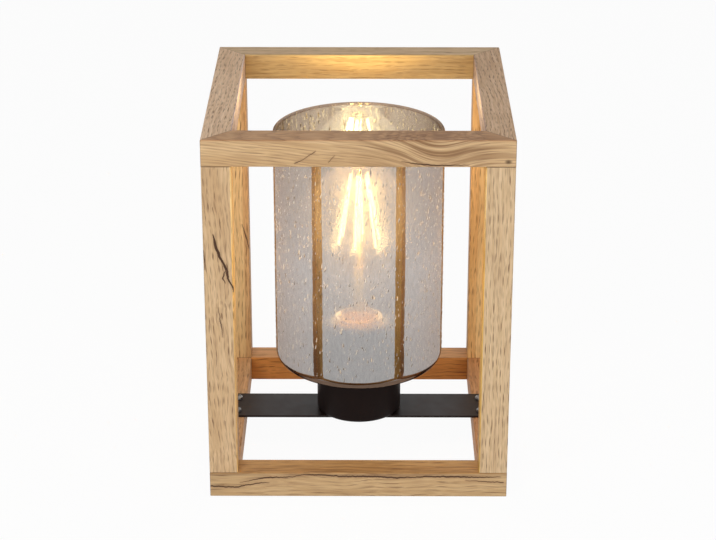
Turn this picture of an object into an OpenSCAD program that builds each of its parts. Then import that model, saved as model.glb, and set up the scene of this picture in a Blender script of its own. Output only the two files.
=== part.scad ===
// Lantern table lamp: an open oak frame with a flat bar across its foot, a round cup on the bar,
// and a glass cylinder with a screw bulb inside it. Millimetres. +X is right, +Y is back, +Z is up.
// The origin is the middle of the footprint, on the surface that the lamp stands on.

/* [Frame] */
// Width of the frame, left to right
frame_w = 200; // [175:1:260]
// Depth of the frame, front to back
frame_d = 200; // [175:1:260]
// Height of the frame
frame_h = 255; // [245:1:330]
// Section of the square posts, and width of the rails
wood_s = 19; // [16:0.5:26]
// Height of the rails
rail_h = 18; // [16:0.5:24]
// Cut taken off the long edges of the wood
arris = 0.5; // [0.2:0.1:1.5]

/* [Frame dowels] */
// Diameter of the dowel at each end of a post
dowel_d = 6; // [4:0.5:8]
// Length of a dowel inside its post
dowel_in_post = 14; // [8:1:24]
// Length of a dowel inside the rails
dowel_in_rail = 11; // [6:0.5:13]
// Room left for glue at each end of a dowel
glue_pocket = 0.5; // [0.2:0.1:1]

/* [Crossbar] */
// Width of the flat bar
bar_w = 35; // [32:1:50]
// Thickness of the flat bar
bar_t = 1.5; // [1:0.1:3]
// Distance from each end of the bar to the frame's outer face
bar_end_inset = 3; // [1:0.5:6]

/* [Bar screws] */
// Distance from the screws to the frame's outer face
screw_inset = 13; // [11:0.5:13.5]
// Distance between the two screws at one end
screw_spacing = 20; // [12:1:22]
// Diameter of the screw shank
screw_d = 3.2; // [2.5:0.1:4]
// Length of the screw under its head
screw_len = 13; // [8:0.5:14]
// Length of the screw's point
screw_point = 3; // [2:0.5:4]
// Diameter of the screw head
screw_head_d = 7; // [6:0.5:8]
// Height of the screw head
screw_head_h = 2.2; // [1.8:0.1:3]

/* [Cup] */
// Outer diameter of the cup
cup_d = 59; // [57:1:80]
// Height of the cup
cup_h = 36.5; // [34:0.5:55]
// Wall of the cup
cup_t = 1.2; // [0.8:0.1:2]
// Outer radius of the cup's bottom edge
cup_edge_r = 2.5; // [2.1:0.1:4]

/* [Cord inlet] */
// Bore of the bush that the cord comes in through
inlet_bore_d = 6.4; // [5:0.1:7]
// Height of the inlet over the cup's floor
inlet_lift = 14; // [10:0.5:20]
// Wall of the bush
bush_wall = 1.4; // [1:0.1:2]
// Width of the bush's collars, past its sleeve
bush_collar = 1.8; // [1:0.1:2.5]
// Thickness of the bush's outer collar
bush_flange_t = 1.5; // [1:0.1:3]
// Thickness of the bush's inner collar
bush_catch_t = 2; // [1:0.1:3]

/* [Earth screw] */
// Distance of the earth screw behind the middle of the cup
earth_y = 22; // [21.5:0.1:22.2]
// Diameter of the earth screw
earth_d = 4; // [3:0.5:5]
// Diameter of the earth screw's washer
earth_washer_d = 8.4; // [8:0.2:9]
// Thickness of the earth screw's washer
earth_washer_t = 0.8; // [0.5:0.1:1.2]
// Height of the earth screw's head
earth_head_h = 2.4; // [2:0.1:3]
// Diameter of the earth screw's head
earth_head_d = 7; // [6.5:0.1:7.6]
// Length of the earth screw under the cup's floor
earth_tail = 3; // [1:0.5:6]

/* [Threaded nipple] */
// Outer diameter of the nipple's thread
nipple_d = 10; // [8:0.5:10.5]
// Bore of the nipple
nipple_bore_d = 7; // [5:0.1:7]
// Length of the nipple under its lower nut
nipple_tail = 1.5; // [0.5:0.5:5]
// Diameter of the port in the nipple's back that lets the cord's cores in
nipple_port_d = 5; // [3:0.5:5.5]
// Width of the nuts across their flats
nut_af = 14; // [13:0.5:17]
// Height of the nuts
nut_h = 4; // [3:0.5:6]
// Diameter of the washer
washer_d = 20; // [18:1:26]
// Thickness of the washer
washer_t = 1; // [0.8:0.1:2]

/* [Lampholder] */
// Outer diameter of the lampholder
holder_d = 40; // [39:0.5:44]
// Height of the lampholder
holder_h = 56; // [53:0.5:60]
// Height of the lampholder's mouth over the floor of the glass
holder_show = 29.5; // [27:0.5:36]
// Wall of the lampholder's shell
holder_wall = 2.2; // [1.6:0.1:2.6]
// Height of the cap from its foot to its shoulder
cap_h = 16; // [15:0.5:17]
// Height of the cap's straight neck
cap_neck_h = 4; // [3:0.5:6]
// Height of the cap's straight rim
cap_rim_h = 4; // [3:0.5:5]
// Wall of the cap's neck round the nipple
cap_neck_wall = 3.5; // [2.5:0.5:5]
// Wall of the cap's cone, measured level
cap_cone_wall = 3.3; // [2.5:0.1:4]
// Length of the nipple's thread inside the cap
cap_thread = 8; // [6:0.5:9]
// Height of the cap's spigot inside the shell
spigot_h = 5; // [3:0.5:6]
// Wall of the cap's spigot
spigot_wall = 2.7; // [2:0.1:3]
// Depth of the shell's inward lip
lip_w = 0.9; // [0.5:0.1:1.2]
// Height of the shell's inward lip
lip_h = 2.2; // [1:0.1:3]
// Radius of the outer edge of the shell's mouth
mouth_edge_r = 1; // [0.4:0.1:1.5]
// Thickness of the insert's floor
insert_floor = 5; // [4:0.5:6]

/* [Contacts] */
// Wall of the brass thread shell
thread_shell_t = 0.4; // [0.3:0.1:0.6]
// Height of the brass thread shell
thread_shell_h = 22; // [16:0.5:24]
// Width of the centre contact's strip
tongue_w = 5; // [3:0.5:7]
// Thickness of the centre contact's strip
tongue_t = 0.5; // [0.3:0.1:0.8]
// Reach of the centre contact past the middle
tongue_over = 3; // [1:0.5:5]
// Distance from the middle to the bend of the centre contact
tongue_bend = 4; // [3:0.5:6]
// Length of the centre contact's foot
tongue_foot = 7; // [5:0.5:8]
// Distance of the terminal screws from the middle
terminal_x = 10; // [8:0.5:11]
// Diameter of the terminal screws
terminal_d = 3.5; // [2.5:0.5:4]
// Diameter of the terminal screws' heads
terminal_head_d = 6; // [5:0.5:7]
// Height of the terminal screws' heads
terminal_head_h = 2.5; // [1.5:0.5:3.5]

/* [Shade] */
// Outer diameter of the glass
shade_d = 117; // [100:1:140]
// Height of the glass
shade_h = 171; // [150:1:185]
// Wall of the glass
shade_t = 3; // [2:0.1:5]
// Thickness of the glass floor
shade_base_t = 4; // [3:0.1:6]
// Outer radius of the glass's bottom edge
shade_edge_r = 9.5; // [8:0.5:16]
// Thickness of the gasket under the glass
gasket_t = 1; // [0.5:0.1:2]
// Width of the gasket
gasket_w = 4.5; // [3:0.5:6]

/* [Shade ring] */
// Width of the ring's flange, past the lampholder
ring_flange_w = 6.5; // [5:0.5:10]
// Thickness of the ring's flange
ring_flange_t = 2.5; // [1.5:0.5:4]
// Wall of the ring's collar
ring_wall = 2.6; // [1.6:0.1:4]
// Height of the whole ring
ring_h = 7; // [5:0.5:12]

/* [Bulb glass] */
// Largest diameter of the bulb
bulb_d = 64; // [56:1:70]
// Length of the bulb, tip to top
bulb_len = 140; // [130:1:150]
// Wall of the bulb's glass
bulb_t = 0.8; // [0.5:0.1:1.2]
// Outer radius at the foot of the bulb's slanting side
bulb_foot_r = 15; // [14:0.5:17]
// Height over the cap at which the slanting side would have that radius
bulb_foot_lift = 5; // [2:0.5:10]
// Height over the cap in which the neck flows into the slanting side
bulb_flare_h = 22; // [14:1:30]

/* [Bulb cap] */
// Diameter of the cap over its thread
screw_cap_d = 26.4; // [26:0.1:26.6]
// Length of the bulb from its tip to the rim of its cap
screw_cap_len = 27; // [26:0.5:28]
// Pitch of the cap's thread
thread_pitch = 3.63; // [3.5:0.01:3.7]
// Number of thread ridges on the cap
thread_turns = 4; // [3:1:4]
// Depth of the cap's thread
thread_depth = 1; // [0.6:0.1:1.1]
// Wall of the cap
screw_cap_t = 0.5; // [0.3:0.1:0.7]
// Height of the cap's plain collar
cap_collar_h = 4.5; // [4:0.1:5]
// Height of the cap's inward taper at its foot
cap_taper_h = 3; // [2:0.1:3.4]
// Outer radius of the cap's foot
cap_foot_r = 9.5; // [8.5:0.1:10.5]
// Radius of the insulator's lower face
insulator_r = 6; // [5.5:0.1:7]
// Radius of the tip contact
tip_r = 4.5; // [3.5:0.1:5]
// Height of the tip contact
tip_h = 1.4; // [1:0.1:2]
// Height of the tip contact's round underside
tip_dome_h = 0.8; // [0.4:0.1:0.9]

/* [Filaments] */
// Number of filament rods
filament_count = 6; // [4:1:8]
// Diameter of a filament rod
filament_d = 1.8; // [1:0.1:2.4]
// Height over the cap of the rods' lower ends
filament_lift = 55; // [46:1:57]
// Height of the rods, lower to upper ends
filament_rise = 51; // [36:1:53]
// Radius of the ring of lower ends
filament_low_r = 15; // [10:0.5:17]
// Radius of the ring of upper ends
filament_top_r = 6; // [4:0.5:9]
// Turn of the first rod from the right
filament_turn = 20; // [0:5:40]
// Diameter of the support wires
wire_d = 0.8; // [0.5:0.1:1.2]
// Radius of the glass stem
stem_r = 3.2; // [2.6:0.1:4]
// Wall of the glass stem
stem_t = 1; // [0.6:0.1:1.4]
// Height of the stem over the cap
stem_h = 38; // [30:1:42]
// Height of the stem's flared foot
stem_flare_h = 12; // [8:1:16]
// Radius of the thin glass rod over the stem
rod_r = 1.2; // [0.8:0.1:1.8]

/* [Hidden] */
$fn = 96;

// Clearances between neighbours, each measured on the radius or across the gap
slip = 0.05;       // a thread or a glued dowel in its hole
easy = 0.25;       // a screw through a clearance hole
touch = 0.15;      // the end of a wire before what carries it
bulb_gap = 0.3;    // between the bulb and the lampholder
glass_gap = 0.8;   // between the lampholder and the hole in the glass
overcut = 1;       // how far a cut runs past the face that it opens

// Colours
oak = [0.80, 0.66, 0.48];
dark_steel = [0.16, 0.14, 0.13];
bright_steel = [0.75, 0.75, 0.77];
brass = [0.80, 0.63, 0.32];
black_plastic = [0.09, 0.09, 0.09];
ceramic = [0.90, 0.87, 0.80];
smoked_glass = [0.62, 0.58, 0.55, 0.45];
clear_glass = [0.95, 0.90, 0.80, 0.30];
lit_yellow = [1.00, 0.82, 0.45];

// Levels, from the table up
bar_z = rail_h;
cup_z = bar_z + bar_t;
cup_floor_z = cup_z + cup_t;
gasket_z = cup_z + cup_h;
shade_z = gasket_z + gasket_t;
shade_floor_z = shade_z + shade_base_t;
mouth_z = shade_floor_z + holder_show;
holder_z = mouth_z - holder_h;
shoulder_z = holder_z + cap_h;
insert_z = shoulder_z + spigot_h;
insert_floor_z = insert_z + insert_floor;
top_rail_z = frame_h - rail_h;
post_h = top_rail_z - rail_h;

// Radii
cup_r = cup_d / 2;
nipple_r = nipple_d / 2;
holder_r = holder_d / 2;
shell_bore_r = holder_r - holder_wall;
shade_r = shade_d / 2;
bulb_r = bulb_d / 2;
thread_r = screw_cap_d / 2;
thread_root_r = thread_r - thread_depth;
thread_shell_r = thread_r + bulb_gap;
inlet_r = inlet_bore_d / 2;
sleeve_r = inlet_r + bush_wall;
collar_r = sleeve_r + bush_collar;

// Levels of the bulb
cap_rim_z = mouth_z - bulb_gap;
tip_z = cap_rim_z - screw_cap_len;
insulator_z = tip_z + tip_h + touch;
cap_foot_z = tip_z + screw_cap_len - cap_collar_h - thread_turns * thread_pitch - cap_taper_h;
collar_z = cap_rim_z - cap_collar_h;
bulb_top_z = tip_z + bulb_len;
dome_z = bulb_top_z - bulb_r;
neck_r = thread_r - screw_cap_t - slip;
neck_z = collar_z + 2 * screw_cap_t + touch;
filament_z = cap_rim_z + filament_lift;
filament_top_z = filament_z + filament_rise;
stem_top_z = cap_rim_z + stem_h;
support_ring_z = filament_top_z + filament_d;

// Corner posts: the sign of each one's X and Y
CORNERS = [[-1, -1], [1, -1], [-1, 1], [1, 1]];
corner_x = (frame_w - wood_s) / 2;
corner_y = (frame_d - wood_s) / 2;
// Bar screws
screw_x = frame_w / 2 - screw_inset;
screw_y = screw_spacing / 2;

// ---------- helpers ----------

// Points of an arc round [cx, cy], from angle a0 to a1, in n steps
function arc(cx, cy, r, a0, a1, n) =
    [for (i = [0:n]) let (a = a0 + (a1 - a0) * i / n) [cx + r * cos(a), cy + r * sin(a)]];

// The same points, last one first
function backwards(points) = [for (i = [len(points) - 1:-1:0]) points[i]];

// Smooth step from 0 to 1
function smooth(t) = t * t * (3 - 2 * t);

// Solid of revolution about Z from a closed outline in [radius, height]
module turned(outline) {
    rotate_extrude() polygon(outline);
}

// Plain ring about Z
module ring(r_out, r_in, h) {
    difference() {
        cylinder(r = r_out, h = h);
        translate([0, 0, -overcut]) cylinder(r = r_in, h = h + 2 * overcut);
    }
}

// Hexagonal nut standing on z = 0
module hex_nut(af, h, bore_r) {
    difference() {
        cylinder(r = af / 2 / cos(30), h = h, $fn = 6);
        translate([0, 0, -overcut]) cylinder(r = bore_r, h = h + 2 * overcut);
    }
}

// Round bar from point a to point b
module bar_between(a, b, r) {
    d = b - a;
    length = norm(d);
    translate(a)
        rotate([0, acos(d[2] / length), atan2(d[1], d[0])])
            cylinder(r = r, h = length, $fn = 24);
}

// Domed screw head with a cross slot, standing on z = 0
module screw_head(d, h) {
    slot_w = d / 8;
    slot_l = 5 * slot_w;
    slot_h = h / 2;
    rim_h = h / 3;
    steps = 8;
    difference() {
        turned(concat(
            [[0, 0], [d / 2, 0]],
            [for (i = [0:steps]) let (a = 90 * i / steps) [d / 2 * cos(a), rim_h + (h - rim_h) * sin(a)]]));
        for (a = [0, 90])
            rotate(a)
                translate([-slot_l / 2, -slot_w / 2, h - slot_h])
                    cube([slot_l, slot_w, h]);
    }
}

// ---------- oak frame ----------

// Rectangle with its four corners cut
module eased_rect(w, h) {
    polygon([[arris, 0], [w - arris, 0], [w, arris], [w, h - arris],
             [w - arris, h], [arris, h], [0, h - arris], [0, arris]]);
}

// Rail along X with its outer face on y = 0 and its ends cut at 45 degrees
module mitred_rail(length) {
    intersection() {
        translate([-length / 2, 0, 0])
            rotate([90, 0, 90])
                linear_extrude(length) eased_rect(wood_s, rail_h);
        linear_extrude(rail_h)
            polygon([[-length / 2, 0], [length / 2, 0],
                     [length / 2 - wood_s, wood_s], [wood_s - length / 2, wood_s]]);
    }
}

// Rail on the front (0), right (90), back (180) or left (270) side of the frame
module side_rail(side) {
    across = side % 180 == 0;
    rotate(side)
        translate([0, -(across ? frame_d : frame_w) / 2, 0])
            mitred_rail(across ? frame_w : frame_d);
}

// What the dowels take out of the wood, or the dowels themselves, about the joint on z = 0
module dowel_set(below, above, r) {
    for (c = CORNERS)
        translate([c[0] * corner_x, c[1] * corner_y, -below])
            cylinder(r = r, h = below + above);
}

dowel_hole_r = dowel_d / 2 + slip;
rail_hole = dowel_in_rail + glue_pocket;
post_hole = dowel_in_post + glue_pocket;

module top_rail(side) {
    color(oak)
        difference() {
            translate([0, 0, top_rail_z]) side_rail(side);
            translate([0, 0, top_rail_z]) dowel_set(overcut, rail_hole, dowel_hole_r);
        }
}

module bottom_rail(side) {
    color(oak)
        difference() {
            side_rail(side);
            translate([0, 0, rail_h]) dowel_set(rail_hole, overcut, dowel_hole_r);
        }
}

// Bottom rail that also takes the bar's screws
module bar_rail(side) {
    color(oak)
        difference() {
            bottom_rail(side);
            at_bar_screws()
                translate([0, 0, bar_t - screw_len - glue_pocket])
                    cylinder(r = screw_d / 2 + slip, h = screw_len + overcut);
        }
}

module post(corner) {
    color(oak)
        difference() {
            translate([corner[0] * corner_x - wood_s / 2, corner[1] * corner_y - wood_s / 2, rail_h])
                linear_extrude(post_h) eased_rect(wood_s, wood_s);
            translate([0, 0, rail_h]) dowel_set(overcut, post_hole, dowel_hole_r);
            translate([0, 0, top_rail_z]) dowel_set(post_hole, overcut, dowel_hole_r);
        }
}

module top_rail_front() { top_rail(0); }
module top_rail_right() { top_rail(90); }
module top_rail_back() { top_rail(180); }
module top_rail_left() { top_rail(270); }
module bottom_rail_front() { bottom_rail(0); }
module bottom_rail_right() { bar_rail(90); }
module bottom_rail_back() { bottom_rail(180); }
module bottom_rail_left() { bar_rail(270); }
module post_front_left() { post(CORNERS[0]); }
module post_front_right() { post(CORNERS[1]); }
module post_back_left() { post(CORNERS[2]); }
module post_back_right() { post(CORNERS[3]); }

module top_dowels() {
    color(oak) translate([0, 0, top_rail_z]) dowel_set(dowel_in_post, dowel_in_rail, dowel_d / 2);
}

module bottom_dowels() {
    color(oak) translate([0, 0, rail_h]) dowel_set(dowel_in_rail, dowel_in_post, dowel_d / 2);
}

// ---------- crossbar ----------

// Puts its children at each bar screw, on top of the side rails
module at_bar_screws() {
    for (x = [-screw_x, screw_x], y = [-screw_y, screw_y])
        translate([x, y, bar_z]) children();
}

module crossbar() {
    length = frame_w - 2 * bar_end_inset;
    color(dark_steel)
        difference() {
            translate([-length / 2, -bar_w / 2, bar_z]) cube([length, bar_w, bar_t]);
            translate([0, 0, bar_z - overcut]) cylinder(r = nipple_r + easy, h = bar_t + 2 * overcut);
            at_bar_screws()
                translate([0, 0, -overcut]) cylinder(r = screw_d / 2 + easy, h = bar_t + 2 * overcut);
        }
}

module crossbar_screws() {
    shank = screw_len - screw_point;
    color(bright_steel)
        at_bar_screws()
            translate([0, 0, bar_t]) {
                screw_head(screw_head_d, screw_head_h);
                translate([0, 0, -shank]) cylinder(r = screw_d / 2, h = shank);
                translate([0, 0, -screw_len]) cylinder(r1 = 0, r2 = screw_d / 2, h = screw_point);
            }
}

// ---------- cup and what is in it ----------

// Puts its children at the middle of the inlet hole, with +Z pointing out of the back of the cup
module at_inlet(y) {
    translate([0, y, cup_floor_z + inlet_lift]) rotate([-90, 0, 0]) children();
}

module socket_cup() {
    inner_edge_r = cup_edge_r - cup_t;
    bore_r = cup_r - cup_t;
    color(dark_steel)
        difference() {
            translate([0, 0, cup_z])
                turned(concat(
                    [[nipple_r + easy, 0]],
                    arc(cup_r - cup_edge_r, cup_edge_r, cup_edge_r, -90, 0, 8),
                    [[cup_r, cup_h], [bore_r, cup_h]],
                    arc(bore_r - inner_edge_r, cup_t + inner_edge_r, inner_edge_r, 0, -90, 6),
                    [[nipple_r + easy, cup_t]]));
            at_inlet(0) cylinder(r = sleeve_r + slip, h = cup_d);
            translate([0, earth_y, cup_z - overcut])
                cylinder(r = earth_d / 2 + slip, h = cup_t + 2 * overcut);
        }
}

module cord_bush() {
    catch_y = sqrt(pow(cup_r - cup_t, 2) - pow(collar_r, 2)) - slip;
    color(black_plastic)
        difference() {
            union() {
                at_inlet(catch_y - bush_catch_t) cylinder(r = collar_r, h = bush_catch_t);
                at_inlet(catch_y - bush_catch_t)
                    cylinder(r = sleeve_r, h = cup_r + bush_flange_t - catch_y + bush_catch_t);
                at_inlet(cup_r) cylinder(r = collar_r, h = bush_flange_t);
            }
            at_inlet(0) cylinder(r = inlet_r, h = cup_d);
        }
}

module earth_screw() {
    color(brass)
        translate([0, earth_y, cup_floor_z]) {
            cylinder(r = earth_washer_d / 2, h = earth_washer_t);
            translate([0, 0, earth_washer_t]) screw_head(earth_head_d, earth_head_h);
            translate([0, 0, -cup_t - earth_tail]) cylinder(r = earth_d / 2, h = cup_t + earth_tail);
        }
}

module nipple() {
    foot_z = bar_z - washer_t - nut_h - nipple_tail;
    top_z = holder_z + cap_thread - touch;
    port_z = (cup_floor_z + nut_h + holder_z) / 2;
    color(bright_steel)
        difference() {
            translate([0, 0, foot_z]) ring(nipple_r, nipple_bore_d / 2, top_z - foot_z);
            translate([0, 0, port_z])
                rotate([-90, 0, 0])
                    cylinder(r = nipple_port_d / 2, h = nipple_r + overcut);
        }
}

module nipple_nuts() {
    color(bright_steel)
        for (z = [bar_z - washer_t - nut_h, cup_floor_z])
            translate([0, 0, z]) hex_nut(nut_af, nut_h, nipple_r + slip);
}

module nipple_washer() {
    color(bright_steel)
        translate([0, 0, bar_z - washer_t]) ring(washer_d / 2, nipple_r + easy, washer_t);
}

// ---------- lampholder ----------

module holder_cap() {
    thread_bore_r = nipple_r + slip;
    neck = thread_bore_r + cap_neck_wall;
    spigot_r = shell_bore_r - slip;
    cavity_r = spigot_r - spigot_wall;
    cone_top = cap_h - cap_rim_h;
    // Outer radius of the cone, level with the top of the nipple's thread
    cone_r = neck + (holder_r - neck) * (cap_thread - cap_neck_h) / (cone_top - cap_neck_h);
    color(black_plastic)
        translate([0, 0, holder_z])
            turned([[thread_bore_r, 0], [neck, 0], [neck, cap_neck_h], [holder_r, cone_top],
                    [holder_r, cap_h], [spigot_r, cap_h], [spigot_r, cap_h + spigot_h],
                    [cavity_r, cap_h + spigot_h], [cavity_r, cone_top], [cone_r - cap_cone_wall, cap_thread],
                    [thread_bore_r, cap_thread]]);
}

module holder_shell() {
    h = mouth_z - shoulder_z;
    color(black_plastic)
        translate([0, 0, shoulder_z])
            turned(concat(
                [[shell_bore_r, 0], [holder_r, 0]],
                arc(holder_r - mouth_edge_r, h - mouth_edge_r, mouth_edge_r, 0, 90, 6),
                [[shell_bore_r - lip_w, h], [shell_bore_r - lip_w, h - lip_h], [shell_bore_r, h - lip_h]]));
}

module holder_insert() {
    r = shell_bore_r - slip;
    h = mouth_z - lip_h - slip - insert_z;
    well_r = thread_shell_r + thread_shell_t + slip;
    color(ceramic)
        translate([0, 0, insert_z])
            difference() {
                cylinder(r = r, h = h);
                translate([0, 0, insert_floor]) cylinder(r = well_r, h = h);
                for (x = [-terminal_x, terminal_x])
                    translate([x, 0, -overcut])
                        cylinder(r = terminal_d / 2 + slip, h = insert_floor);
            }
}

module thread_shell() {
    color(brass)
        translate([0, 0, insert_floor_z])
            ring(thread_shell_r + thread_shell_t, thread_shell_r, thread_shell_h);
}

// Bent strip: its foot lies on the insert's floor, and its raised end stands under the bulb's tip
module centre_contact() {
    rise = tip_z - bulb_gap - insert_floor_z;
    color(brass)
        translate([0, tongue_w / 2, insert_floor_z])
            rotate([90, 0, 0])
                linear_extrude(tongue_w)
                    polygon([[tongue_bend + tongue_foot, 0], [tongue_bend + tongue_foot, tongue_t],
                             [tongue_bend + tongue_t, tongue_t], [tongue_bend + tongue_t, rise],
                             [-tongue_over, rise], [-tongue_over, rise - tongue_t],
                             [tongue_bend, rise - tongue_t], [tongue_bend, 0]]);
}

module terminal_screws() {
    color(brass)
        for (x = [-terminal_x, terminal_x])
            translate([x, 0, insert_z]) {
                cylinder(r = terminal_d / 2, h = insert_floor - overcut - slip);
                rotate([180, 0, 0]) screw_head(terminal_head_d, terminal_head_h);
            }
}

// ---------- glass shade ----------

module shade_gasket() {
    color(black_plastic) translate([0, 0, gasket_z]) ring(cup_r, cup_r - gasket_w, gasket_t);
}

module glass_shade() {
    hole_r = holder_r + glass_gap;
    bore_r = shade_r - shade_t;
    inner_edge_r = max(shade_edge_r - shade_t, shade_t);
    rim_r = shade_t / 2;
    color(smoked_glass)
        translate([0, 0, shade_z])
            turned(concat(
                [[hole_r, 0]],
                arc(shade_r - shade_edge_r, shade_edge_r, shade_edge_r, -90, 0, 16),
                arc(shade_r - rim_r, shade_h - rim_r, rim_r, 0, 180, 12),
                arc(bore_r - inner_edge_r, shade_base_t + inner_edge_r, inner_edge_r, 0, -90, 12),
                [[hole_r, shade_base_t]]));
}

module shade_ring() {
    bore_r = holder_r + slip;
    color(black_plastic)
        translate([0, 0, shade_floor_z])
            turned([[bore_r, 0], [holder_r + ring_flange_w, 0], [holder_r + ring_flange_w, ring_flange_t],
                    [bore_r + ring_wall, ring_flange_t], [bore_r + ring_wall, ring_h], [bore_r, ring_h]]);
}

// ---------- bulb ----------

// Thread ridges as a wave of rings, from the taper up to the collar
function thread_wave(steps = 8) =
    [for (i = [0:steps * thread_turns])
        [thread_r - thread_depth / 2 * (1 + cos(360 * i / steps)),
         cap_foot_z + cap_taper_h + thread_pitch * i / steps]];

module bulb_cap() {
    bore_r = thread_root_r - screw_cap_t;
    taper_z = cap_foot_z + cap_taper_h;
    color(bright_steel)
        turned(concat(
            [[cap_foot_r - screw_cap_t, cap_foot_z], [cap_foot_r, cap_foot_z]],
            thread_wave(),
            [[thread_r, collar_z + screw_cap_t], [thread_r, cap_rim_z], [neck_r + slip, cap_rim_z],
             [neck_r + slip, neck_z - touch], [bore_r, collar_z + screw_cap_t], [bore_r, taper_z],
             [cap_foot_r - screw_cap_t, cap_foot_z + screw_cap_t]]));
}

module bulb_insulator() {
    top_r = cap_foot_r - screw_cap_t - slip;
    top_z = cap_foot_z + screw_cap_t;
    color(black_plastic)
        turned([[0, insulator_z], [insulator_r, insulator_z],
                [top_r, cap_foot_z], [top_r, top_z], [0, top_z]]);
}

module bulb_tip_contact() {
    steps = 6;
    color(bright_steel)
        translate([0, 0, tip_z])
            turned(concat(
                [[0, tip_h]],
                [for (i = [0:steps]) let (a = 90 * i / steps) [tip_r * sin(a), tip_dome_h * (1 - cos(a))]],
                [[tip_r, tip_h]]));
}

// Outline of the bulb's glass from its neck to its top, set in by t
function bulb_outline(t) =
    let (foot = [bulb_foot_r, cap_rim_z + bulb_foot_lift - dome_z],
         tangent = atan2(foot[1], foot[0]) + acos(bulb_r / norm(foot)),
         side = [bulb_r * cos(tangent), bulb_r * sin(tangent)],
         slope = (side[0] - foot[0]) / (side[1] - foot[1]),
         steps = 10)
    concat(
        [[neck_r - t, neck_z]],
        [for (i = [0:steps])
            let (z = cap_rim_z + bulb_flare_h * i / steps,
                 line_r = foot[0] + slope * (z - dome_z - foot[1]))
            [neck_r + (line_r - neck_r) * smooth(i / steps) - t, z]],
        arc(0, dome_z, bulb_r - t, tangent, 90, 24));

module bulb_envelope() {
    color(clear_glass) turned(concat(bulb_outline(0), backwards(bulb_outline(bulb_t))));
}

module bulb_stem() {
    flare_r = neck_r - bulb_t - touch;
    bore_top_z = neck_z + stem_flare_h - stem_t;
    color(clear_glass)
        turned([[flare_r - stem_t, neck_z], [flare_r, neck_z], [stem_r, neck_z + stem_flare_h],
                [stem_r, stem_top_z], [rod_r, stem_top_z], [rod_r, support_ring_z], [0, support_ring_z],
                [0, bore_top_z], [stem_r - stem_t, bore_top_z]]);
}

// Point on a ring of filament ends: rod number i, radius r, height z
function filament_point(i, r, z) =
    let (a = filament_turn + 360 * i / filament_count) [r * cos(a), r * sin(a), z];

// Unit vector of rod number i, from its lower to its upper end
function filament_way(i) =
    let (low = filament_point(i, filament_low_r, filament_z),
         top = filament_point(i, filament_top_r, filament_top_z))
    (top - low) / norm(top - low);

module bulb_filaments() {
    color(lit_yellow)
        for (i = [0:filament_count - 1])
            bar_between(filament_point(i, filament_low_r, filament_z),
                        filament_point(i, filament_top_r, filament_top_z), filament_d / 2);
}

// A collar on the stem with a wire to each rod's lower end, and a three-armed ring with a short wire
// to each upper end
module bulb_supports() {
    collar_bore = stem_r + touch;
    root_r = collar_bore + wire_d;
    root_z = stem_top_z - 2 * wire_d;
    clear = touch + wire_d / 2;
    color(bright_steel) {
        translate([0, 0, root_z - wire_d]) ring(root_r + wire_d, collar_bore, 2 * wire_d);
        for (i = [0:filament_count - 1]) {
            way = filament_way(i);
            low = filament_point(i, filament_low_r, filament_z) - way * clear;
            top = filament_point(i, filament_top_r, filament_top_z) + way * clear;
            bar_between(filament_point(i, root_r, root_z), low, wire_d / 2);
            bar_between(top, filament_point(i, filament_top_r, support_ring_z + wire_d / 2), wire_d / 2);
        }
        translate([0, 0, support_ring_z]) linear_extrude(wire_d) support_ring();
    }
}

// Plan of the upper ring and its arms
module support_ring() {
    difference() {
        circle(r = filament_top_r + wire_d);
        circle(r = filament_top_r - wire_d);
    }
    for (a = [0, 120, 240])
        rotate(filament_turn + a)
            translate([rod_r + touch, -wire_d / 2])
                square([filament_top_r - rod_r - touch, wire_d]);
}

// ---------- the pieces ----------

top_rail_front();
top_rail_back();
top_rail_left();
top_rail_right();
bottom_rail_front();
bottom_rail_back();
bottom_rail_left();
bottom_rail_right();
post_front_left();
post_front_right();
post_back_left();
post_back_right();
top_dowels();
bottom_dowels();
crossbar();
crossbar_screws();
socket_cup();
cord_bush();
earth_screw();
nipple();
nipple_nuts();
nipple_washer();
holder_cap();
holder_shell();
holder_insert();
thread_shell();
centre_contact();
terminal_screws();
shade_gasket();
glass_shade();
shade_ring();
bulb_cap();
bulb_insulator();
bulb_tip_contact();
bulb_envelope();
bulb_stem();
bulb_supports();
bulb_filaments();
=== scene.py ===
import math
import random

import bmesh
import bpy
from mathutils import Euler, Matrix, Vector, noise


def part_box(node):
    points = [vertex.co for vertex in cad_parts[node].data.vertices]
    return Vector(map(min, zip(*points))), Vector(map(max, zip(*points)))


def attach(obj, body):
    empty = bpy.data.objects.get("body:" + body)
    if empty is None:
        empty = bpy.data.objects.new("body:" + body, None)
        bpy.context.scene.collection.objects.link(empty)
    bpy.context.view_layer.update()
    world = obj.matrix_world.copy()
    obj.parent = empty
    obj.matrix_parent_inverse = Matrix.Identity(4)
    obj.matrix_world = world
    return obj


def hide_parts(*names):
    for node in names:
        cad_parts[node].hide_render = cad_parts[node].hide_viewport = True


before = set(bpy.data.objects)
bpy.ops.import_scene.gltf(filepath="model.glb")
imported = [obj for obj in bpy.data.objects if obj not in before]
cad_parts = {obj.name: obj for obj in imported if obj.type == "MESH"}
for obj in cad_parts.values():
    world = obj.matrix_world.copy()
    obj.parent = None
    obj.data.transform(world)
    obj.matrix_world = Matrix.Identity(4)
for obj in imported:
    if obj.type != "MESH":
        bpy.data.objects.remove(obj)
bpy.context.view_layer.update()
MM = 0.001
X, Y, Z = 0, 1, 2

# ---------- camera, lights and floor ----------

CAMERA_PLACE = (5.1 * MM, -1378.9 * MM, 707.7 * MM)
CAMERA_DOWN = 22.945      # degrees below the horizon
CAMERA_LEFT = 0.238       # degrees to the left of +Y
CAMERA_LENS = 108.08      # millimetres
CAMERA_SENSOR = 36.0      # millimetres

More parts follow.
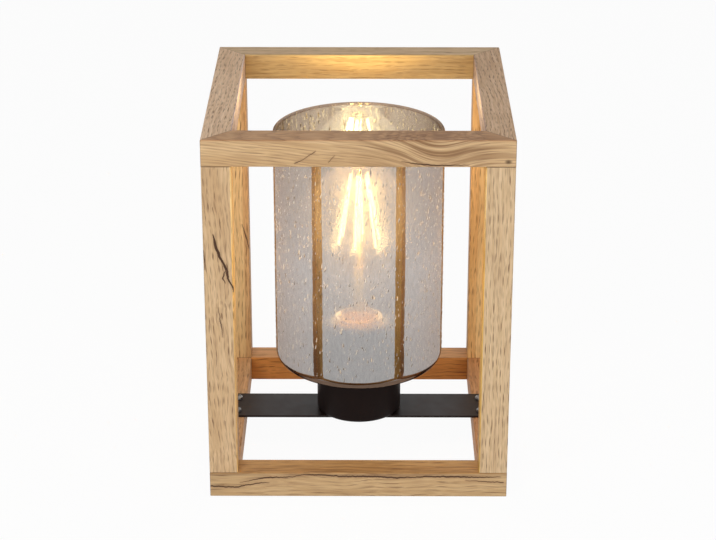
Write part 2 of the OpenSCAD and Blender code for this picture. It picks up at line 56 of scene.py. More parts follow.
WORLD_LEVEL = 0.26        # light from all round
BACKGROUND_LEVEL = 1.0    # what a camera, mirror or pane sees of it
FLOOR_WHITE = 0.95        # share of the floor's look that is plain white
FLOOR_HALF = 5.0          # metres from its middle to its edge
FLOOR_DROP = 0.2          # millimetres that it lies below the lamp

# name, place in metres, size in metres, watts
SOFT_BOXES = (
    ("key", (-0.62, -1.20, 0.72), 0.8, 8.6),
    ("fill", (0.75, -1.15, 0.42), 0.8, 6.4),
    ("top", (0.1, 0.2, 1.9), 1.4, 5.4),
)
LIGHTS_AIM = (0, 0, 0.12)  # metres


def make_camera():
    camera = bpy.data.cameras.new("camera")
    camera.lens = CAMERA_LENS
    camera.sensor_width = CAMERA_SENSOR
    camera.clip_start = 0.05
    camera.clip_end = 50.0
    holder = bpy.data.objects.new("camera", camera)
    holder.location = CAMERA_PLACE
    holder.rotation_euler = Euler((math.radians(90 - CAMERA_DOWN), 0, math.radians(CAMERA_LEFT)))
    bpy.context.scene.collection.objects.link(holder)
    bpy.context.scene.camera = holder


class Graph:
    """A node tree that is written as nested calls: each one adds a node and gives its output."""

    def __init__(self, tree):
        self.tree = tree
        self.tree.nodes.clear()

    def add(self, kind, inputs=(), out=0, **settings):
        node = self.tree.nodes.new(kind)
        for key, value in settings.items():
            setattr(node, key, value)
        for key, value in dict(inputs).items():
            if isinstance(value, bpy.types.NodeSocket):
                self.tree.links.new(value, node.inputs[key])
            else:
                node.inputs[key].default_value = value
        return node.outputs[out]

    def math(self, what, a, b=0.0, c=0.0):
        return self.add("ShaderNodeMath", {0: a, 1: b, 2: c}, operation=what)

    def span(self, value, low, high, to_low=0.0, to_high=1.0):
        """value taken from low..high to to_low..to_high, and held there past the ends."""
        return self.add("ShaderNodeMapRange", {"Value": value, "From Min": low, "From Max": high,
                                               "To Min": to_low, "To Max": to_high})

    def far(self, value, at):
        """How far value is from at, either way."""
        return self.math("ABSOLUTE", self.math("SUBTRACT", value, at))

    def vector(self, *parts):
        return self.add("ShaderNodeCombineXYZ", dict(enumerate(parts)))

    def scale(self, vector, factors):
        return self.add("ShaderNodeVectorMath", {0: vector, 1: factors}, operation="MULTIPLY")

    def shift(self, vector, by):
        return self.add("ShaderNodeVectorMath", {0: vector, 1: by}, operation="ADD")

    def place(self):
        """Where the point is in the lamp's frame, in millimetres."""
        return self.scale(self.add("ShaderNodeTexCoord", out="Object"), (1 / MM,) * 3)

    def split(self, vector):
        node = self.tree.nodes.new("ShaderNodeSeparateXYZ")
        self.tree.links.new(vector, node.inputs[0])
        return list(node.outputs)

    def facing(self):
        """0 where a surface is seen straight on, and 1 at its rim."""
        return self.add("ShaderNodeLayerWeight", {"Blend": 0.5}, out="Facing")

    def noise(self, vector, detail=2.0, roughness=0.5, scale=1.0, out=0):
        return self.add("ShaderNodeTexNoise", {"Vector": vector, "Scale": scale, "Detail": detail,
                                               "Roughness": roughness}, out=out)

    def spots(self, vector, radius, soft):
        """Blobs round scattered points one unit apart: how far inside one, and a number for each."""
        node = self.tree.nodes.new("ShaderNodeTexVoronoi")
        node.inputs["Scale"].default_value = 1.0
        self.tree.links.new(vector, node.inputs["Vector"])
        inside = self.span(node.outputs["Distance"], radius * (1 - soft), radius * (1 + soft), 1.0, 0.0)
        return inside, self.split(node.outputs["Color"])[0]

    def line(self, value, points):
        """Straight lines through (value, result) points, level past the ends."""
        low, high = points[0][0], points[-1][0]
        results = [result for _, result in points]
        bottom, top = min(results), max(results) + 1e-6
        ramp = self.tree.nodes.new("ShaderNodeValToRGB")
        self.tree.links.new(self.span(value, low, high), ramp.inputs[0])
        stops = ramp.color_ramp.elements
        while len(stops) < len(points):
            stops.new(0.5)
        for stop, (at, _) in zip(stops, points):
            stop.position = (at - low) / (high - low)
        for stop, (_, result) in zip(stops, points):
            stop.color = ((result - bottom) / (top - bottom),) * 3 + (1,)
        return self.span(ramp.outputs[0], 0.0, 1.0, bottom, top)

    def mix(self, share, a, b, blend="MIX"):
        """Mixes two colours. The node's sockets 0, 6 and 7 are the share and the colours."""
        return self.add("ShaderNodeMix", {0: share, 6: a, 7: b}, out=2, data_type="RGBA", blend_type=blend)

    def mix_shader(self, share, a, b):
        return self.add("ShaderNodeMixShader", {0: share, 1: a, 2: b})

    def sum_shader(self, a, b):
        return self.add("ShaderNodeAddShader", {0: a, 1: b})

    def shader(self, kind, colour, **inputs):
        return self.add(kind, {"Color": colour, **inputs})

    def bump(self, height, distance, strength):
        """The normal of a surface with relief, whose distance is in millimetres."""
        return self.add("ShaderNodeBump", {"Strength": strength, "Distance": distance * MM,
                                           "Height": height}, out="Normal")


def seen_directly(g):
    """1 for a ray from the camera, a mirror or a pane, and 0 for one that gathers light."""
    path = g.tree.nodes.new("ShaderNodeLightPath")
    camera_or_gloss = g.math("MAXIMUM", path.outputs["Is Camera Ray"], path.outputs["Is Glossy Ray"])
    return g.math("MAXIMUM", camera_or_gloss, path.outputs["Is Transmission Ray"])


def make_world():
    world = bpy.data.worlds.new("studio")
    world.use_nodes = True
    bpy.context.scene.world = world
    g = Graph(world.node_tree)
    level = g.span(seen_directly(g), 0.0, 1.0, WORLD_LEVEL, BACKGROUND_LEVEL)
    back = g.shader("ShaderNodeBackground", (1, 1, 1, 1), Strength=level)
    output = world.node_tree.nodes.new("ShaderNodeOutputWorld")
    world.node_tree.links.new(back, output.inputs["Surface"])


def make_material(name, shader):
    """Makes a material from a function that takes a Graph and returns its surface shader."""
    material = bpy.data.materials.new(name)
    material.use_nodes = True
    g = Graph(material.node_tree)
    surface = shader(g)
    output = g.tree.nodes.new("ShaderNodeOutputMaterial")
    g.tree.links.new(surface, output.inputs["Surface"])
    return material


def make_floor():
    def shader(g):
        speckle = g.noise(g.add("ShaderNodeTexCoord", out="Object"), detail=3, scale=6)
        pale = g.mix(speckle, (0.90, 0.90, 0.90, 1), (0.93, 0.93, 0.93, 1))
        matt = g.shader("ShaderNodeBsdfDiffuse", pale)
        white = g.shader("ShaderNodeEmission", (1, 1, 1, 1), Strength=BACKGROUND_LEVEL)
        share = g.math("MULTIPLY", seen_directly(g), FLOOR_WHITE)
        return g.mix_shader(share, matt, white)

    corner_signs = ((-1, -1), (1, -1), (1, 1), (-1, 1))
    verts = [(FLOOR_HALF * x, FLOOR_HALF * y, 0) for x, y in corner_signs]
    mesh = bpy.data.meshes.new("floor")
    mesh.from_pydata(verts, [], [(0, 1, 2, 3)])
    floor = bpy.data.objects.new("floor", mesh)
    floor.location.z = -FLOOR_DROP * MM
    mesh.materials.append(make_material("floor", shader))
    bpy.context.scene.collection.objects.link(floor)


def make_soft_boxes():
    for name, place, size, watts in SOFT_BOXES:
        lamp = bpy.data.lights.new(name, "AREA")
        lamp.shape = "SQUARE"
        lamp.size = size
        lamp.energy = watts
        holder = bpy.data.objects.new(name, lamp)
        holder.location = place
        aim = Vector(LIGHTS_AIM) - Vector(place)
        holder.rotation_euler = aim.to_track_quat("-Z", "Y").to_euler()
        holder.visible_glossy = False
        bpy.context.scene.collection.objects.link(holder)


def dress(material, *nodes):
    for name in nodes:
        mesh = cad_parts[name].data
        mesh.materials.clear()
        mesh.materials.append(material)


# ---------- oak ----------

PALE = (0.700, 0.500, 0.300, 1)
MID = (0.560, 0.370, 0.200, 1)
BROWN = (0.340, 0.195, 0.100, 1)
PORE = (0.160, 0.085, 0.040, 1)
HEARTWOOD_AND_SHADE = (0.235, 0.125, 0.060, 1)
CRACK = (0.060, 0.026, 0.012, 1)

RING_WIDTH = 2.7          # millimetres between growth rings
RING_WOBBLE = 3.0         # millimetres that a ring wanders
EARLY_DARK = 0.20         # share of brown in the wood that grows first each year
LATE_DARK = 0.10          # and last
STREAK_DARK = 0.52        # and in the streaks along the grain
FIBRE_DARK = 0.80         # share of middling brown in the fibres

# waves in each millimetre, along the grain and twice across it
DRIFT = (0.014, 0.022, 0.022)
WOBBLE = (0.03, 0.14, 0.14)
FIBRE = (0.025, 0.95, 0.95)
STREAK = (0.014, 0.55, 0.55)
CLOUD = (0.011, 0.055, 0.055)

# length and width, in mm, of the space that each open pore has, and its radius as a share of them
SMALL_PORE = (8.5, 0.65, 0.42)
LARGE_PORE = (14, 1.1, 0.32)
PORE_SOFT = 0.35          # share of its radius over which a pore fades

# heights in the grain's relief, as multiples of the pores' depth
PORE_DEPTH = 0.14         # millimetres
FIBRE_HEIGHT = 0.3
CRACK_HEIGHT = -4.0

# how far each seed moves a piece of wood through the noise
DRIFT_STEP = (137.0, 61.0, 29.0)
GRAIN_STEP = (53.0, 17.0, 71.0)

# sizes in millimetres
FRAME_HALF = 100.0        # half of the frame's width
FACE = 0.7                # reach that takes in one face and nothing behind it
SHARP_REACH = 10          # a tint that reaches less than this ends sharply
CRACK_REACH = 3.0         # into the wood, as far as a crack shows
CRACK_RIPPLE = 1.6        # that a crack wanders, from one side to the other
STAIN_WIDTH = 1.8         # of stained wood beside a crack

STAIN_DARK = 0.35         # share of brown in it
JOINT_DARK = 0.65         # share of the cracks' colour in the joints


def oak(name, along, seed, heart, lean=(0.0, 0.0), brown=0.3, warp=9.0, pores=0.95, cracks=(),
        patch=None, knot=None, tint=(1.0, 1.0, 1.0), faces=(), stretch=1.0, dip=None, ring=1.0,
        ring_width=RING_WIDTH):
    """Oak whose grain runs along one axis.

    heart is a point on the tree's middle, in mm, and lean is how that middle slants across the grain.
    brown is the share of darker heartwood, and warp how far the grain wanders, in mm.
    pores is how dark the open pores are, and stretch draws them out.
    ring is how dark the growth rings are, and ring_width how far apart they are, in mm.
    dip is (place along the grain, depth, half width) of a hollow in the grain.
    A patch or knot is (middle, radii, strength), and a patch has a fourth number, its depth between
    the streaks. A patch is heartwood on the rails and painted shade on the front posts.
    tint colours the whole piece. Each of faces is a tint of painted light or shade for part of the wood,
    after its limits: (axis, middle, reach) for each axis that bounds it.
    """

    def shader(g):
        split = g.split(g.place())
        run = g.math("SUBTRACT", split[along], heart[along])
        offsets = []
        for k in (1, 2):
            axis = (along + k) % 3
            middle = g.math("MULTIPLY_ADD", run, lean[k - 1], heart[axis])
            offsets.append(g.math("SUBTRACT", split[axis], middle))
        straight = g.shift(g.vector(run, *offsets), [step * seed for step in DRIFT_STEP])
        drift = g.split(g.noise(g.scale(straight, DRIFT), detail=2, out="Color"))
        bent = [g.math("MULTIPLY_ADD", drift[k], warp, offsets[k]) for k in (0, 1)]
        if dip:
            off = g.math("DIVIDE", g.math("SUBTRACT", split[along], dip[0]), dip[2])
            bell = g.math("EXPONENT", g.math("MULTIPLY", g.math("MULTIPLY", off, off), -1.0))
            bent[1] = g.math("MULTIPLY_ADD", bell, dip[1], bent[1])
        grain = g.shift(g.vector(run, *bent), [step * seed for step in GRAIN_STEP])

        # growth rings round the middle of the tree
        squares = [g.math("MULTIPLY", value, value) for value in bent]
        radius = g.math("SQRT", g.math("ADD", *squares))
        wobble = g.noise(g.scale(grain, WOBBLE), detail=2)
        radius = g.math("MULTIPLY_ADD", wobble, RING_WOBBLE, radius)
        rings = g.math("FRACT", g.math("DIVIDE", radius, ring_width))
        early = g.span(rings, 0.0, 0.55, 1.0, 0.0)
        late = g.span(rings, 0.70, 1.0, 0.0, 1.0)

        # fibres, fine and coarse, and the open pores that lie in rows in the early wood
        fibre = g.noise(g.scale(grain, FIBRE), detail=3, roughness=0.7)
        streak = g.noise(g.scale(grain, STREAK), detail=2)
        small, small_share = pore_spots(g, grain, SMALL_PORE, stretch)
        large, large_share = pore_spots(g, grain, LARGE_PORE, stretch)
        small = g.math("MULTIPLY", small, g.span(small_share, 0.15, 0.80, 0.20, 1.0))
        large = g.math("MULTIPLY", large, g.span(large_share, 0.35, 0.90, 0.0, 1.0))
        rows = g.span(early, 0.0, 0.6, 0.30, 1.0)
        open_pores = g.math("MULTIPLY", g.math("MAXIMUM", small, large), rows)

        # colour: slow tint, rings, fibres, then pores
        cloud = g.noise(g.scale(grain, CLOUD), detail=2)
        base = g.mix(g.span(cloud, 0.66 - 0.4 * brown, 0.88 - 0.4 * brown), PALE, MID)
        base = g.mix(g.math("MULTIPLY", early, EARLY_DARK * ring), base, BROWN)
        base = g.mix(g.math("MULTIPLY", late, LATE_DARK * ring), base, BROWN)
        base = g.mix(g.math("MULTIPLY", g.span(streak, 0.50, 0.70), STREAK_DARK), base, BROWN)
        base = g.mix(g.span(fibre, 0.42, 0.64, 0.0, FIBRE_DARK), base, MID)
        # a patch is heartwood on the rails, and painted shade low round the front posts' back faces
        if patch:
            streaky = g.math("MULTIPLY", blob(g, split, patch), g.span(streak, 0.40, 0.60, patch[3], 1.0))
            base = g.mix(g.math("MULTIPLY", streaky, patch[2]), base, HEARTWOOD_AND_SHADE)
        colour = g.mix(g.math("MULTIPLY", open_pores, pores), base, PORE)
        colour = g.mix(1.0, colour, tint + (1,), "MULTIPLY")
        # painted light and shade: each of faces makes part of the piece lighter, darker or warmer where the
        # lamps or the bulb light it more or less
        for limits, second in faces:
            colour = g.mix(painted_light_field(g, split, limits), colour, second + (1,), "MULTIPLY")

        # knot, cracks and joints
        relief = g.math("MULTIPLY_ADD", open_pores, -1.0, g.math("MULTIPLY", fibre, FIBRE_HEIGHT))
        if knot:
            colour = g.mix(g.math("MULTIPLY", blob(g, split, knot), knot[2]), colour, CRACK)
        for crack in cracks:
            gap, stain = crack_field(g, split, crack)
            colour = g.mix(g.math("MULTIPLY", stain, STAIN_DARK), colour, BROWN)
            colour = g.mix(gap, colour, CRACK)
            relief = g.math("MULTIPLY_ADD", gap, CRACK_HEIGHT, relief)
        colour = g.mix(g.math("MULTIPLY", joint_field(g, split, along), JOINT_DARK), colour, CRACK)
        rough = g.span(fibre, 0.3, 0.7, 0.50, 0.66)
        normal = g.bump(relief, PORE_DEPTH, 0.6)
        return g.add("ShaderNodeBsdfPrincipled", {"Base Color": colour, "Roughness": rough,
                                                  "Normal": normal, "Specular IOR Level": 0.35})

    return make_material(name, shader)


def pore_spots(g, grain, pore, stretch):
    length, width, radius = pore
    return g.spots(g.scale(grain, (1 / (length * stretch), 1 / width, 1 / width)), radius, PORE_SOFT)


def blob(g, split, spot):
    """1 in the middle of a round spot, falling to 0 at twice its radii."""
    centre, radii = spot[:2]
    total = 0.0
    for k in range(3):
        off = g.math("DIVIDE", g.math("SUBTRACT", split[k], centre[k]), radii[k])
        total = g.math("MULTIPLY_ADD", off, off, total)
    return g.math("POWER", g.span(total, 0.0, 4.0, 1.0, 0.0), 1.5)


def painted_light_field(g, split, limits):
    """1 where a face tint paints light or shade: within reach of a place on each axis that limits names."""
    share = 1.0
    for axis, at, reach in limits:
        soft = 0.2 if reach < SHARP_REACH else 0.3 * reach
        near = g.span(g.far(split[axis], at), reach - soft, reach + soft, 1.0, 0.0)
        share = g.math("MULTIPLY", share, near)
    return share


def crack_field(g, split, crack):
    """A drying crack, and the stained wood along it, each 1 inside.

    crack gives the axis that it runs along, the one across it, the one that its face looks along, where
    that face is, and its (run, side, half width) points in mm.
    """
    run, side, face_axis, at, path = crack
    along = split[run]
    middle = g.line(along, [(point[0], point[1]) for point in path])
    width = g.line(along, [(point[0], point[2]) for point in path])
    ripple = g.noise(g.vector(g.math("MULTIPLY", along, 0.35), path[0][1]), detail=3)
    middle = g.math("ADD", middle, g.math("MULTIPLY_ADD", ripple, CRACK_RIPPLE, -CRACK_RIPPLE / 2))
    past = g.math("SUBTRACT", g.far(split[side], middle), width)
    start, end = path[0][0], path[-1][0]
    ends = g.math("MULTIPLY", g.span(along, start - 0.5, start + 0.5),
                  g.span(along, end - 0.5, end + 0.5, 1.0, 0.0))
    near = g.span(g.far(split[face_axis], at), CRACK_REACH, CRACK_REACH + 0.5, 1.0, 0.0)
    here = g.math("MULTIPLY", ends, near)
    gap = g.math("MULTIPLY", g.span(past, -0.15, 0.18, 1.0, 0.0), here)
    stain = g.math("MULTIPLY", g.span(past, 0.0, STAIN_WIDTH, 1.0, 0.0), here)
    return gap, stain


def joint_field(g, split, along):
    """1 in the fine line where two pieces of the frame meet: a mitre on a rail, or the end of a post."""
    if along == Z:
        low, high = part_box("post_front_left")
        middle, half = (low.z + high.z) / 2 / MM, (high.z - low.z) / 2 / MM
        off = g.math("SUBTRACT", half, g.far(split[Z], middle))
    else:
        off = g.far(g.math("ABSOLUTE", split[X]), g.math("ABSOLUTE", split[Y]))
    return g.span(off, 0.12, 0.42, 1.0, 0.0)


def up(face_y, *points):
    """A crack up a post, in its face at face_y, through (z, x, half width) points in mm."""
    return Z, X, Y, face_y, points


def across(face_y, *points):
    """A crack along a rail, in its face at face_y, through (x, z, half width) points in mm."""
    return X, Z, Y, face_y, points


def face(axis, at, tint):
    """A tint of painted light or shade for the face at one place on an axis."""
    return [(axis, at, FACE)], tint


def dress_wood():
    front = -FRAME_HALF
    back_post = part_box("post_back_left")[0].y / MM
    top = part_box("top_rail_front")[1].z / MM
    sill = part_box("bottom_rail_front")[1].z / MM
    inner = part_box("top_rail_back")[0].y / MM

    post_crack = up(front, (148, -80.4, 0.15), (155, -81.8, 0.5), (160, -84.6, 0.6), (165, -85.0, 0.9),
                    (170, -86.8, 0.75), (175, -89.2, 0.9), (180, -91.2, 1.0), (185, -92.2, 0.8),
                    (191, -93.4, 0.25))
    post_branch = up(front, (156.5, -86.0, 0.1), (160, -87.8, 0.45), (164, -86.6, 0.3),
                     (166, -85.4, 0.1))
    post_check = up(front, (118, -88.6, 0.05), (128, -89.8, 0.3), (140, -91.2, 0.05))
    post_edge = up(front, (166, -99.4, 0.1), (173, -99.3, 0.3), (180, -99.8, 0.1))
    back_crack = up(back_post, (106, -80.8, 0.1), (116, -83.0, 0.4), (126, -85.6, 0.1))
    sill_main = across(front, (-80, 10.4, 0.05), (-69, 13.2, 0.3), (-58, 14.6, 0.45), (-44, 14.8, 0.25),
                       (-36, 16.8, 0.25), (-27, 16.4, 0.45), (-12, 15.4, 0.5), (0, 15.4, 0.55),
                       (12, 15.2, 0.55), (26, 14.4, 0.55), (38, 14.6, 0.3), (46, 15.4, 0.5),
                       (66, 15.2, 0.55), (84, 14.8, 0.35), (96, 15.2, 0.1))
    sill_low = across(front, (-99.9, 7.8, 0.5), (-92, 7.4, 0.45), (-82, 7.0, 0.45), (-76, 8.4, 0.35),
                      (-66, 10.2, 0.35), (-60, 10.4, 0.05))
    sill_right = across(front, (72, 12.4, 0.05), (84, 11.8, 0.2), (98, 10.8, 0.3))
    slants = [across(front, (-40.5, 239.6, 0.3), (-36, 241.4, 0.12), (-27, 247.6, 0.2)),
              across(front, (-19, 240.2, 0.22), (-15, 244.8, 0.12)),
              across(front, (27, 240.8, 0.05), (36, 239.3, 0.35), (46, 238.4, 0.4), (58, 238.2, 0.3),
                     (70, 238.4, 0.05))]

    # painted light on the front posts: the bulb's warm light on the faces behind and beside, the side faces
    # paler in their high part, and a painted highlight along their front edge
    left_post_painted_light = [face(Y, -inner, (1.20, 0.86, 0.36)), face(X, -inner, (1.16, 1.04, 0.68)),
                       ([(X, -inner, FACE), (Z, 190, 60)], (1.42, 1.34, 1.02)),
                       ([(X, -inner, FACE), (Y, front + 3, 4.5), (Z, 212, 26)], (1.06, 1.30, 2.0))]
    right_post_painted_light = [face(Y, -inner, (1.02, 0.64, 0.18)), face(X, inner, (1.14, 0.96, 0.42)),
                        ([(X, inner, FACE), (Z, 190, 60)], (1.14, 1.04, 0.84)),
                        ([(X, inner, FACE), (Y, front + 3, 4.5), (Z, 212, 26)], (1.22, 1.50, 2.6))]
    # painted light on the back posts' front faces: the bulb's warm light, paler towards the outer edge of
    # each
    back_left_painted_light = [face(Y, inner, (1.02, 0.93, 0.79)),
                       ([(Y, inner, FACE), (X, -93, 8.2)], (1.20, 1.36, 1.44))]
    back_right_painted_light = [face(Y, inner, (1.19, 1.06, 0.77)),
                        ([(Y, inner, FACE), (X, 94, 7.0)], (1.06, 1.18, 1.34))]

    # name, axis of the grain, seed, looks
    # each faces tint below is painted light or shade: it makes a top, inner or mirrored face lighter, darker
    # or warmer where the lamps and the bulb light it
    plans = (
        ("top_rail_front", X, 1.0, dict(
            heart=(44, front + 10, 330), lean=(0.0, -0.10), brown=0.45, warp=5.0, dip=(50, 10, 24),
            pores=0.62, stretch=2.2, ring=2.4, ring_width=2.0, cracks=slants,
            patch=((48, front, 249), (34, 17, 10), 0.95, 0.10),
            knot=((95, front, 240.6), (1.5, 4.0, 1.0), 0.9),
            tint=(1.00, 0.98, 0.91), faces=[face(Z, top, (0.86, 0.73, 0.68))])),
        ("top_rail_back", X, 2.3, dict(
            heart=(0, 20, 90), brown=0.2, pores=0.55, faces=[face(Y, inner, (0.80, 0.77, 0.57))])),
        ("top_rail_left", Y, 3.1, dict(
            heart=(-260, 0, 215), lean=(0.0, 0.03), brown=0.30,
            faces=[face(Z, top, (1.27, 1.27, 1.41)), face(X, -inner, (0.97, 1.06, 1.46))])),
        ("top_rail_right", Y, 4.7, dict(
            heart=(250, 0, 200), lean=(0.0, -0.02), brown=0.60,
            faces=[face(Z, top, (1.04, 1.00, 1.05)), face(X, inner, (0.90, 0.97, 1.30))])),
        ("bottom_rail_front", X, 5.9, dict(
            heart=(0, 20, -130), brown=0.45, pores=0.75, stretch=2.0,
            patch=((-20, front, 18), (90, 8, 2.6), 0.6, 0.2), cracks=[sill_main, sill_low, sill_right],
            tint=(0.86, 0.83, 0.74), faces=[face(Z, sill, (1.08, 0.96, 0.77))])),
        # the back bottom rail's warm tint is partly its own colour and partly painted bulb light through the
        # glass; its inner face tint is painted bulb light
        ("bottom_rail_back", X, 6.4, dict(
            heart=(0, 30, -120), brown=0.9, stretch=2.0,
            tint=(1.24, 1.05, 0.89), faces=[face(Y, inner, (0.82, 0.60, 0.31))])),
        ("bottom_rail_left", Y, 7.2, dict(
            heart=(-210, 0, -80), brown=0.5, tint=(0.94, 0.80, 0.69))),
        ("bottom_rail_right", Y, 8.8, dict(
            heart=(220, 0, -90), brown=0.5, tint=(0.93, 0.70, 0.55))),
        ("post_front_left", Z, 9.5, dict(
            heart=(60, -108, 128), lean=(-0.05, 0.0), brown=0.30,
            # painted shade: this patch darkens the post low round its back face, where the lampholder keeps
            # the bulb's light off
            patch=((-90, -inner - 3, 36), (40, 7, 26), 0.95, 0.9),
            cracks=[post_crack, post_branch, post_check, post_edge],
            tint=(0.98, 0.97, 0.95), faces=left_post_painted_light)),
        ("post_front_right", Z, 10.6, dict(
            heart=(-40, -96, 128), brown=0.30, warp=5.0,
            # painted shade: this patch darkens the post low round its back face, where the lampholder keeps
            # the bulb's light off
            patch=((90, -inner - 3, 36), (40, 7, 26), 0.70, 0.9),
            tint=(0.99, 1.02, 1.04), faces=right_post_painted_light)),
        ("post_back_left", Z, 11.3, dict(
            heart=(50, 120, 128), brown=0.5, cracks=[back_crack],
            tint=(0.98, 0.94, 0.88), faces=back_left_painted_light)),
        ("post_back_right", Z, 12.9, dict(
            heart=(-50, 130, 128), brown=0.5, tint=(1.00, 0.94, 0.86), faces=back_right_painted_light)),
    )
    for name, along, seed, looks in plans:
        dress(oak("oak_" + name, along, seed, **looks), name)
    dress(oak("oak_dowels", Z, 14.2, (0, 0, 0)), "top_dowels", "bottom_dowels")


# ---------- metal, plastic and ceramic ----------


def mottled(name, colour, roughness, metallic=0.0, grain=1.2, depth=0.02, vary=0.12, specular=0.5):
    """A plain finish with a fine skin. grain is the size of its texture, in mm, and depth its height."""

    def shader(g):
        place = g.place()
        skin = g.noise(place, detail=3, scale=1 / grain)
        cloud = g.noise(place, detail=2, scale=0.05 / grain)
        darker = tuple(c * (1 - vary) for c in colour) + (1,)
        lighter = tuple(min(1, c * (1 + vary)) for c in colour) + (1,)
        tone = g.mix(g.span(g.math("ADD", skin, cloud), 0.7, 1.3), darker, lighter)
        rough = g.span(cloud, 0.3, 0.7, roughness * 0.88, roughness * 1.12)
        normal = g.bump(skin, depth, 0.6)
        return g.add("ShaderNodeBsdfPrincipled", {"Base Color": tone, "Roughness": rough, "Normal": normal,
                                                  "Metallic": metallic, "Specular IOR Level": specular})

    return make_material(name, shader)


def dress_hardware():
    dress(mottled("bar_coat", (0.0150, 0.0085, 0.0068), 0.40, grain=0.5, specular=0.20), "crossbar")
    # painted shade: the cup's coat is a darker, duller copy of the bar's black paint
    dress(mottled("cup_coat", (0.0110, 0.0068, 0.0062), 0.50, grain=0.5, specular=0.09), "socket_cup")
    dress(mottled("zinc", (0.70, 0.70, 0.72), 0.24, metallic=1.0, grain=0.8, depth=0.01),
          "nipple", "nipple_nuts", "nipple_washer")
    dress(mottled("screw_steel", (0.30, 0.29, 0.28), 0.45, metallic=1.0, grain=0.8, depth=0.01),
          "crossbar_screws")
    dress(mottled("brass", (0.78, 0.58, 0.27), 0.28, metallic=1.0, depth=0.01),
          "earth_screw", "thread_shell", "centre_contact", "terminal_screws")
    dress(mottled("black_plastic", (0.035, 0.033, 0.032), 0.38, grain=0.7, depth=0.015),
          "cord_bush", "holder_cap", "holder_shell", "shade_ring", "bulb_insulator")
    dress(mottled("rubber", (0.030, 0.030, 0.030), 0.7, grain=0.6), "shade_gasket")
    dress(mottled("ceramic", (0.80, 0.76, 0.68), 0.45, grain=0.9, depth=0.015, vary=0.05), "holder_insert")
    # the cap is brass coloured but more orange and less metallic than the other brass: partly its own colour
    # and partly painted warm light from the bulb
    dress(mottled("cap_metal", (0.88, 0.62, 0.14), 0.7, metallic=0.2, grain=0.9, depth=0.01, specular=0.2),
          "bulb_cap", "bulb_tip_contact")
    dress(mottled("wire", (0.55, 0.42, 0.24), 0.35, metallic=0.9, grain=0.4, depth=0.005), "bulb_supports")


# ---------- bulb ----------

BULB_WARM = (1.0, 0.84, 0.46)
BULB_WATTS = 1.8
LAMP_SHARES = (0.15, 0.5, 0.85)   # heights of the bulb's three soft lamps, as shares of the filaments'
LAMP_RADIUS = 7.0         # millimetres, of each of them
FILAMENT_GLOW = 13.0
PAINTED_GLOW = 0.17          # painted glow: light that each face of the bulb's clear glass gives off, level with the filaments
STEM_FOOT = 50            # millimetres from the stem's foot up to the filaments


def clear_glass(g, tint, gloss, edge):
    """Thin clear glass: see-through, with a sharp reflection that grows from gloss to edge at its rim."""
    share = g.span(g.math("POWER", g.facing(), 5.0), 0.0, 1.0, gloss, edge)
    through = g.shader("ShaderNodeBsdfTransparent", tint)
    shine = g.shader("ShaderNodeBsdfGlossy", (1, 1, 1, 1), Roughness=0.02)
    return g.mix_shader(share, through, shine)


def dress_bulb():
    low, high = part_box("bulb_filaments")
    foot, top = low.z / MM, high.z / MM
    # how strong the painted glow on the bulb's glass is at each height
    painted_glow_levels = [(foot - STEM_FOOT, 0.1), (foot - 16, 0.5), (foot + 8, 1.0), (top - 8, 1.0),
                   (top + 4, 1.7), (top + 14, 1.4)]

    def envelope(g):
        place = g.place()
        level = g.line(g.split(place)[Z], painted_glow_levels)
        cloud = g.span(g.noise(place, detail=2, scale=0.08), 0.3, 0.7, 0.85 * PAINTED_GLOW, 1.15 * PAINTED_GLOW)
        glow = g.math("MULTIPLY", level, cloud)
        # painted glow: the clear envelope gives off light of its own, standing in for the glare round the
        # filaments
        painted_glow = g.shader("ShaderNodeEmission", (1.0, 0.90, 0.66, 1), Strength=glow)
        return g.sum_shader(clear_glass(g, (0.985, 0.970, 0.940, 1), 0.02, 0.35), painted_glow)

    def stem(g):
        place = g.place()
        milk = g.span(g.noise(place, detail=2, scale=0.3), 0.3, 0.7, 0.22, 0.42)
        fade = g.line(g.split(place)[Z], [(foot - STEM_FOOT, 0.3), (foot - 38, 1.0)])
        veil = g.shader("ShaderNodeBsdfTranslucent", (1.0, 0.88, 0.32, 1))
        return g.mix_shader(g.math("MULTIPLY", milk, fade), clear_glass(g, (0.97, 0.93, 0.86, 1), 0.04, 0.5),
                            veil)

    def filament(g):
        beads = g.noise(g.place(), detail=1, scale=0.9)
        colour = g.mix(g.span(beads, 0.3, 0.7), (1.0, 0.80, 0.34, 1), (1.0, 0.87, 0.46, 1))
        return g.shader("ShaderNodeEmission", colour, Strength=FILAMENT_GLOW)

    dress(make_material("bulb_glass", envelope), "bulb_envelope")
    dress(make_material("stem_glass", stem), "bulb_stem")
    dress(make_material("filament", filament), "bulb_filaments")
    for share in LAMP_SHARES:
        lamp = bpy.data.lights.new("bulb_lamp", "POINT")
        lamp.color = BULB_WARM
        lamp.energy = BULB_WATTS / len(LAMP_SHARES)
        lamp.shadow_soft_size = LAMP_RADIUS * MM
        holder = bpy.data.objects.new("bulb_lamp", lamp)
        holder.location = (0, 0, low.z + (high.z - low.z) * share)
        holder.visible_glossy = False
        holder.visible_transmission = False
        bpy.context.scene.collection.objects.link(holder)
    for name in ("bulb_filaments", "bulb_supports", "bulb_stem", "bulb_envelope"):
        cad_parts[name].visible_shadow = False


# ---------- glass shade ----------

# sizes in millimetres
WALL = 3.0                # of glass in the wall
BASE = 4.0                # and in the floor
EDGE_RADIUS = 9.5         # of the bottom edge
HOLE_RADIUS = 20.8        # round the lampholder
FLOOR_RING = 33.0         # radius of a row of points halfway across the floor
STILL_RADIUS = 40.0       # inside this the glass doesn't wander
PAINTED_DARK_LOW = 6.6            # above the foot, the painted dark reflection on the bottom edge starts to end
PAINTED_DARK_HIGH = 8.0           # and has ended

